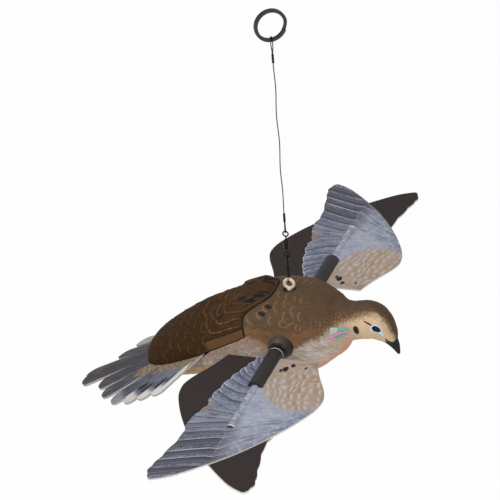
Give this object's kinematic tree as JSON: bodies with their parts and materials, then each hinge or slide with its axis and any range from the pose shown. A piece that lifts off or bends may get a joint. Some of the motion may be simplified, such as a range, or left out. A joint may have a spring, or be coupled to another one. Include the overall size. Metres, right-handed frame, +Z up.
{
  "type": "motion wing decoy",
  "caption": "Hanging dove decoy with a painted two-piece body, fanned tail and wing panels spun by a motor, hung on a swivel line from a split ring.",
  "frame": {"origin": "centre of the split ring that the decoy hangs from", "axes": "+Z up, +X toward the bird's head, +Y toward the bird's left wing"},
  "size_m": [0.2747, 0.4724, 0.3458],
  "materials": {
    "ring_steel": "dark satin",
    "line_cord": "black braid",
    "crimp_metal": "black satin",
    "swivel_metal": "blackened",
    "eye_coating": "cream coating",
    "nut_black": "black",
    "fastener": "bright",
    "body_paint": "painted bird body",
    "weight_brass": "plain",
    "cover_paint": "painted dark brown",
    "tail_print": "printed feathers",
    "dome_plastic": "grey brown",
    "bush_brass": "plain",
    "motor_case": "plain",
    "motor_cap": "black",
    "cradle_plastic": "natural",
    "clamp_metal": "plain",
    "box_plastic": "black",
    "cell_wrap": "wrapped",
    "contact_brass": "plated",
    "switch_red": "red",
    "shaft_steel": "plain",
    "washer_nylon": "natural",
    "sleeve_plastic": "black",
    "rod_plastic": "natural",
    "wing_print": "printed feathers",
    "wing_dark": "dark brown back"
  },
  "bodies": {
    "hanger": {"split_ring": "ring_steel", "line_top_loop": "line_cord", "upper_crimp": "crimp_metal", "hang_line": "line_cord", "lower_crimp": "crimp_metal", "line_bottom_loop": "line_cord", "swivel_upper_eye": "swivel_metal", "swivel_barrel": "swivel_metal"},
    "leader": {"swivel_lower_eye": "swivel_metal", "leader_top_loop": "line_cord", "leader_knot": "line_cord", "leader_bottom_loop": "line_cord"},
    "bird": {"eye_screw": "eye_coating", "eye_flange_nut": "nut_black", "eye_lock_nut": "fastener", "body_shell": "body_paint", "nose_weight": "weight_brass", "tail_fan": "tail_print", "tail_screws": "fastener", "bearing_dome_right": "dome_plastic", "bearing_dome_left": "dome_plastic", "bush_right": "bush_brass", "bush_left": "bush_brass", "motor_can": "motor_case", "motor_cap_right": "motor_cap", "motor_cap_left": "motor_cap", "motor_cradle": "cradle_plastic", "motor_clamp": "clamp_metal", "clamp_screws": "fastener", "battery_box": "box_plastic", "battery_cells": "cell_wrap", "battery_contacts": "contact_brass", "switch_body": "box_plastic"},
    "rotor": {"drive_shaft": "shaft_steel", "washer_right": "washer_nylon", "washer_left": "washer_nylon", "sleeve_right": "sleeve_plastic", "sleeve_left": "sleeve_plastic", "wing_rod_right": "rod_plastic", "wing_rod_left": "rod_plastic", "wing_top_right": "wing_print", "wing_top_left": "wing_print", "wing_bottom_right": "wing_dark", "wing_bottom_left": "wing_dark"},
    "cover": {"back_cover": "cover_paint"},
    "switch": {"switch_slider": "switch_red"}
  },
  "joints": [
    {"name": "swivel_turn", "type": "hinge", "parent": "hanger", "child": "leader", "pos_m": [0, 0, -0.1851], "axis": [0, 0, 1], "continuous": true},
    {"name": "bird_rock", "type": "hinge", "parent": "leader", "child": "bird", "pos_m": [0, 0, -0.2206], "axis": [0, 1, 0], "range_deg": [-40, 40]},
    {"name": "wing_spin", "type": "hinge", "parent": "bird", "child": "rotor", "pos_m": [0.003, 0, -0.25555], "axis": [0, 1, 0], "continuous": true},
    {"name": "cover_lift", "type": "slide", "parent": "bird", "child": "cover", "axis": [-0.4695, 0, 0.8829], "range_m": [0, 0.03]},
    {"name": "switch_slide", "type": "slide", "parent": "bird", "child": "switch", "axis": [0, 1, 0], "range_m": [0, 0.004]}
  ]
}
